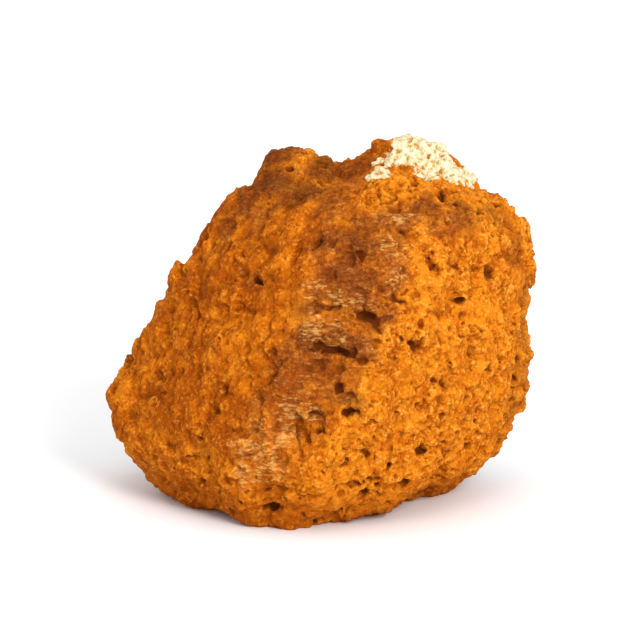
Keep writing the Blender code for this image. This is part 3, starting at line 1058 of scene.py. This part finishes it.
@dataclass(frozen=True)
class FleshFinish:
    """The rusty, corky flesh on the breaks."""

    deep: Colour = (0.29, 0.053, 0.0013)
    middle: Colour = (0.53, 0.126, 0.0033)
    bright: Colour = (0.735, 0.226, 0.0085)
    glint: Colour = (0.85, 0.375, 0.046)
    # Dark flesh colour for painted shade in the hollows and low grains, also used for random dark specks,
    # ticks and veins
    hollow: Colour = (0.195, 0.0351, 0.0016)
    # Inside holes and pores, darker the deeper they sink: partly the flesh's darker colour there, partly
    # painted shade
    pit: Colour = (0.105, 0.02, 0.0016)
    worn_dark: Colour = (0.1105, 0.0234, 0.0026)
    worn: Colour = (0.299, 0.0754, 0.0117)
    worn_light: Colour = (0.598, 0.234, 0.0676)
    brown: Colour = (0.070, 0.015, 0.003)
    brown_light: Colour = (0.235, 0.056, 0.0095)
    scratch: Colour = (0.78, 0.435, 0.12)
    # Below this height, in millimetres, the flesh is darkened toward its deep tone: painted shade on the
    # underside
    painted_shade_below: float = 8.0

    def group(self, crumbs: Group) -> Group:
        """Builds the finish as a node group.

        Args:
            crumbs: The group of fine crumbs that it uses.

        Returns:
            The node group.
        """
        masks = ("HollowShade", "CrestHighlight", "Pit", "Rim", "Worn", "Scratch", "Brown", "Spongy", "Rind")
        g = Group("flesh", ("Place", *masks), ("Colour", "Roughness", "Height"))
        place = g.ins["Place"]
        fine = crumbs.place_in(g, Place=place)
        mottle = g.times(g.noise(place, 7.5, 3.0), 0.65)
        mottle = g.plus(mottle, g.times(g.noise(place, 2.1, 4.0, 0.6), 0.85))
        mottle = g.plus(mottle, g.times(fine["Tint"], 0.5))
        mottle = g.plus(mottle, g.times(g.ins["Spongy"], 0.17))
        scale = ((0.0, self.deep), (0.5, self.middle), (1.0, self.bright))
        colour = g.ramp(g.step(mottle, 0.66, 1.28), scale)
        drawn = g.noise(g.stretched(place, (1.0, 1.0, 0.3)), 1.8, 4.0, 0.6)
        drawn = g.times(g.step(drawn, 0.52, 0.68, 0.6), g.step(g.ins["Spongy"], 0.6, 0.1))
        colour = g.mix(drawn, colour, self.deep)
        # Painted highlight: crests, pore rims and high grains are lightened toward the glint colour, on
        # top of random light specks
        glint = g.plus(fine["Tint"], g.times(g.ins["CrestHighlight"], 0.12))
        glint = g.step(g.plus(glint, g.times(g.ins["Rim"], 0.07)), 0.46, 0.7, 0.6)
        open_flesh = g.blend(g.ins["Spongy"], 0.5, 1.0)
        colour = g.mix(g.times(glint, open_flesh), colour, self.glint)
        lit_grain = g.times(g.step(fine["Grain"], 0.82, 0.95, 0.4), open_flesh)
        colour = g.mix(lit_grain, colour, self.glint)
        # Grains that the bump sets low are darkened: painted shade
        colour = g.mix(g.step(fine["Grain"], 0.2, 0.06, 0.6), colour, self.hollow)
        crowd = g.times(g.step(g.noise(place, 4.5, 2.0), 0.4, 0.6), open_flesh)
        speck = g.times(g.step(g.noise(place, 0.9, 2.0, 0.6), 0.4, 0.3), crowd)
        colour = g.mix(g.times(speck, 0.7), colour, self.hollow)
        fibre = g.noise(g.stretched(place, (0.42, 0.42, 1.25)), 0.9, 5.0, 0.68)
        fibre = g.plus(g.times(fibre, 0.7), g.times(fine["Tint"], 0.3))
        worn = g.ramp(fibre, ((0.34, self.worn_dark), (0.5, self.worn), (0.66, self.worn_light)))
        patchy = g.step(g.noise(place, 3.0, 4.0), 0.38, 0.56)
        share = g.times(g.ins["Worn"], g.blend(patchy, 0.45, 1.0))
        colour = g.mix(share, colour, worn)
        ticks = g.noise(g.stretched(place, (1.0, 1.0, 0.4)), 0.8, 3.0)
        ticks = g.times(g.step(ticks, 0.6, 0.72, 0.7), g.times(crowd, open_flesh))
        colour = g.mix(ticks, colour, self.hollow)
        # Painted shade: darker toward the bottom, under the chunk
        parts = g.node("SeparateXYZ")
        g.feed(parts.inputs[0], place)
        colour = g.mix(g.step(parts.outputs["Z"], self.painted_shade_below, 1.0, 0.6), colour, self.deep)
        # Brown stains and the rind; the brown dabs along the right edge are painted shade
        brown = g.ramp(fine["Tint"], ((0.15, self.brown), (0.6, self.brown_light)))
        dark = g.math("MAXIMUM", g.ins["Brown"], g.ins["Rind"])
        colour = g.mix(g.times(dark, 0.88), colour, brown)
        colour = g.mix(g.step(g.ins["Rind"], 0.7, 1.0, 0.7), colour, self.brown)
        fleck = g.noise(g.stretched(place, (0.6, 0.6, 1.5)), 0.7, 3.0, 0.6)
        streak = g.step(g.plus(fleck, g.times(g.ins["Scratch"], 0.2)), 0.6, 0.8, 0.6)
        streaked = g.step(g.math("MAXIMUM", g.ins["Worn"], g.ins["Scratch"]), 0.0, 0.5)
        streak = g.times(streak, streaked)
        colour = g.mix(streak, colour, self.scratch)
        line = g.math("ABSOLUTE", g.less(g.noise(place, 2.2, 2.0), 0.5))
        vein = g.times(g.step(line, 0.05, 0.0), g.step(g.noise(place, 3.1, 1.0), 0.42, 0.56))
        # Painted shade in the hollows, together with dark vein lines of the flesh's own
        sunk = g.math("MAXIMUM", g.times(g.ins["HollowShade"], 0.62), g.times(vein, 0.4))
        colour = g.mix(sunk, colour, self.hollow)
        # Deeper holes darker: partly the flesh's darker colour inside, partly painted shade
        colour = g.mix(g.step(g.ins["Pit"], 0.2, 1.0, 0.9), colour, self.pit)
        g.feed(g.outs["Colour"], colour)
        g.feed(g.outs["Roughness"], g.blend(fine["Tint"], 0.95, 0.78))
        g.feed(g.outs["Height"], fine["Height"])
        return g


@dataclass(frozen=True)
class PaleFinish:
    """The pale, granular woody patch on the crest."""

    shade: Colour = (0.45, 0.1875, 0.0275)
    body: Colour = (0.65, 0.475, 0.2)
    light: Colour = (0.8, 0.725, 0.5)

    def group(self, crumbs: Group) -> Group:
        """Builds the finish as a node group.

        Args:
            crumbs: The group of fine crumbs that it uses.

        Returns:
            The node group.
        """
        g = Group("pale wood", ("Place", "HollowShade", "CrestHighlight"), ("Colour", "Roughness", "Height"))
        fine = crumbs.place_in(g, Place=g.ins["Place"])
        # Crests lightened as painted highlight and hollows darkened as painted shade, over the grains'
        # tone
        level = g.plus(fine["Tint"], g.times(g.ins["CrestHighlight"], 0.12))
        level = g.less(level, g.times(g.ins["HollowShade"], 0.2))
        g.feed(g.outs["Colour"], g.ramp(level, ((0.08, self.shade), (0.25, self.body), (0.5, self.light))))
        g.feed(g.outs["Roughness"], g.blend(fine["Tint"], 0.9, 0.75))
        g.feed(g.outs["Height"], fine["Height"])
        return g


@dataclass(frozen=True)
class CrustFinish:
    """The black, cracked crust on the outer side."""

    # The cracks' own black, also painted into hollows and low grains as painted shade
    crack_and_shade: Colour = (0.009, 0.005, 0.004)
    char: Colour = (0.018, 0.013, 0.010)
    grey: Colour = (0.040, 0.032, 0.026)
    brown: Colour = (0.075, 0.036, 0.017)
    # Grey dust on strata lines, and on crests where it is partly painted highlight
    dust_and_highlight: Colour = (0.115, 0.095, 0.078)

    def group(self, crumbs: Group) -> Group:
        """Builds the finish as a node group.

        Args:
            crumbs: The group of fine crumbs that it uses.

        Returns:
            The node group.
        """
        g = Group("crust", ("Place", "HollowShade", "CrestHighlight"), ("Colour", "Roughness", "Height"))
        place = g.ins["Place"]
        fine = crumbs.place_in(g, Place=place)
        mottle = g.plus(g.times(g.noise(place, 4.2, 4.0), 0.75), g.times(fine["Tint"], 0.25))
        colour = g.ramp(mottle, ((0.4, self.char), (0.5, self.grey), (0.62, self.brown)))
        lines = g.noise(g.stretched(place, (0.35, 0.35, 1.3)), 0.6, 4.0, 0.65)
        colour = g.mix(g.step(lines, 0.5, 0.72, 0.55), colour, self.dust_and_highlight)
        # Crests lightened toward the dust colour: dust, and painted highlight
        crest_dust_and_highlight = g.times(g.step(g.noise(place, 1.6, 4.0, 0.65), 0.45, 0.7), g.ins["CrestHighlight"])
        colour = g.mix(g.times(crest_dust_and_highlight, 0.5), colour, self.dust_and_highlight)
        # Low grains and hollows darkened toward the cracks' colour: painted shade on the cracks' own dark
        colour = g.mix(g.step(fine["Grain"], 0.35, 0.1, 0.5), colour, self.crack_and_shade)
        colour = g.mix(g.times(g.ins["HollowShade"], 0.85), colour, self.crack_and_shade)
        g.feed(g.outs["Colour"], colour)
        g.feed(g.outs["Roughness"], g.blend(mottle, 0.65, 0.95))
        g.feed(g.outs["Height"], g.plus(g.times(lines, 1.6), fine["Height"]))
        return g


@dataclass(frozen=True)
class ChagaMaterial:
    """The chunk's one material: flesh, pale wood and crust, each where its mask is."""

    flesh: FleshFinish = FleshFinish()
    pale: PaleFinish = PaleFinish()
    crust: CrustFinish = CrustFinish()
    shine: float = 0.05
    bump_strength: float = 0.9
    bump_depth: float = 0.22 * MM

    def build(self) -> bpy.types.Material:
        """Builds the material.

        Returns:
            The material.
        """
        material = bpy.data.materials.new("chaga")
        material.use_nodes = True
        bench = Bench(material.node_tree)
        shader = material.node_tree.nodes["Principled BSDF"]
        place = bench.node("VectorMath", operation="SCALE")
        bench.feed(place.inputs[0], bench.node("TexCoord").outputs["Object"])
        place.inputs["Scale"].default_value = 1.0 / MM
        crumbs = crumb_group()
        hollow, crest = bench.attribute("hollow"), bench.attribute("crest")
        shared = {"Place": place.outputs[0], "HollowShade": hollow, "CrestHighlight": crest}
        masks = ("pit", "rim", "worn", "scratch", "brown", "spongy", "rind")
        own = {name.capitalize(): bench.attribute(name) for name in masks}
        flesh = self.flesh.group(crumbs).place_in(bench, **shared, **own)
        pale = self.pale.group(crumbs).place_in(bench, **shared)
        crust = self.crust.group(crumbs).place_in(bench, **shared)
        scattered = bench.times(bench.noise(place.outputs[0], 0.8, 3.0, 0.65), 1.5)
        near_pale = bench.times(bench.attribute("near_pale"), 1.15)
        is_pale = bench.step(bench.plus(near_pale, scattered), 1.28, 1.42)
        is_crust = bench.step(bench.attribute("crust"), 0.3, 0.7)
        colour = bench.mix(is_crust, bench.mix(is_pale, flesh["Colour"], pale["Colour"]), crust["Colour"])
        rough = bench.blend(is_pale, flesh["Roughness"], pale["Roughness"])
        bench.feed(shader.inputs["Base Color"], colour)
        bench.feed(shader.inputs["Roughness"], bench.blend(is_crust, rough, crust["Roughness"]))
        shader.inputs["Specular IOR Level"].default_value = self.shine
        bump = bench.node("Bump")
        bump.inputs["Strength"].default_value = self.bump_strength
        bump.inputs["Distance"].default_value = self.bump_depth
        bench.feed(bump.inputs["Height"], bench.blend(is_crust, flesh["Height"], crust["Height"]))
        bench.feed(shader.inputs["Normal"], bump.outputs[0])
        return material


@dataclass(frozen=True)
class SoftLight:
    """One soft rectangular light that points at the chunk."""

    name: str
    azimuth: float
    elevation: float
    distance: float
    side: float
    power: float
    colour: Colour = (1.0, 1.0, 1.0)

    def build(self, target: Vector) -> None:
        """Adds the light.

        Args:
            target: The point that it shines at.
        """
        turn, rise = math.radians(self.azimuth), math.radians(self.elevation)
        back = Vector((math.sin(turn) * math.cos(rise), -math.cos(turn) * math.cos(rise), math.sin(rise)))
        light = bpy.data.lights.new(self.name, "AREA")
        light.size, light.energy, light.color = self.side, self.power, self.colour
        item = bpy.data.objects.new(self.name, light)
        item.location = target + back * self.distance
        item.rotation_euler = (-back).to_track_quat("-Z", "Y").to_euler()
        bpy.context.scene.collection.objects.link(item)


@dataclass
class Studio:
    """Floor, lights and camera."""

    floor_side: float = 6.0
    floor_colour: Colour = (0.92, 0.92, 0.925)
    floor_roughness: float = 0.9
    sky: float = 0.95
    camera_distance: float = 1.5
    view_width: float = 0.09
    sensor_width: float = 36.0
    lights: tuple[SoftLight, ...] = (
        SoftLight("key", 26.0, 28.0, 1.5, 0.5, 15.0),
        SoftLight("top", 20.0, 76.0, 1.5, 0.9, 3.3),
    )

    def build(self, middle: Vector) -> None:
        """Builds the studio around the chunk.

        Args:
            middle: The middle of the chunk's box.
        """
        self.build_floor()
        self.build_world()
        for light in self.lights:
            light.build(middle)
        self.build_camera(middle)
        bpy.context.scene.view_settings.view_transform = "Standard"

    def build_floor(self) -> None:
        """Adds the plain pale floor."""
        bpy.ops.object.select_all(action="DESELECT")
        bpy.ops.mesh.primitive_plane_add(size=self.floor_side, location=(0, 0, 0))
        floor = bpy.context.object
        floor.name = "floor"
        material = bpy.data.materials.new("floor")
        material.use_nodes = True
        shader = material.node_tree.nodes["Principled BSDF"]
        shader.inputs["Base Color"].default_value = (*self.floor_colour, 1.0)
        shader.inputs["Roughness"].default_value = self.floor_roughness
        floor.data.materials.append(material)

    def build_world(self) -> None:
        """Adds even white light from all sides."""
        world = bpy.data.worlds.new("studio")
        world.use_nodes = True
        background = world.node_tree.nodes["Background"]
        background.inputs["Color"].default_value = (1.0, 1.0, 1.0, 1.0)
        background.inputs["Strength"].default_value = self.sky
        bpy.context.scene.world = world

    def build_camera(self, middle: Vector) -> None:
        """Adds the camera, looking at the chunk as the photo does.

        Args:
            middle: The middle of the picture.
        """
        camera = bpy.data.cameras.new("camera")
        camera.sensor_width = self.sensor_width
        camera.lens = self.sensor_width * self.camera_distance / self.view_width
        item = bpy.data.objects.new("camera", camera)
        item.location = middle - PhotoPlane.ahead * self.camera_distance
        item.rotation_euler = PhotoPlane.ahead.to_track_quat("-Z", "Y").to_euler()
        bpy.context.scene.collection.objects.link(item)
        bpy.context.scene.camera = item


def main() -> None:
    """Builds the chunk and its studio."""
    logging.basicConfig(level=logging.INFO, format="%(name)s: %(message)s")
    noise.seed_set(PATTERN_SEED)
    chunk = ChagaChunk()
    piece = chunk.build()
    piece.data.materials.clear()
    piece.data.materials.append(ChagaMaterial().build())
    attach(piece, "root")
    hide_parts(chunk.node_name)
    triangles = sum(len(face.vertices) - 2 for face in piece.data.polygons)
    log.info("%s: %d triangles", piece.name, triangles)
    low, high = CAD_BOX
    Studio().build((low + high) / 2)


if __name__ == "__main__":
    main()
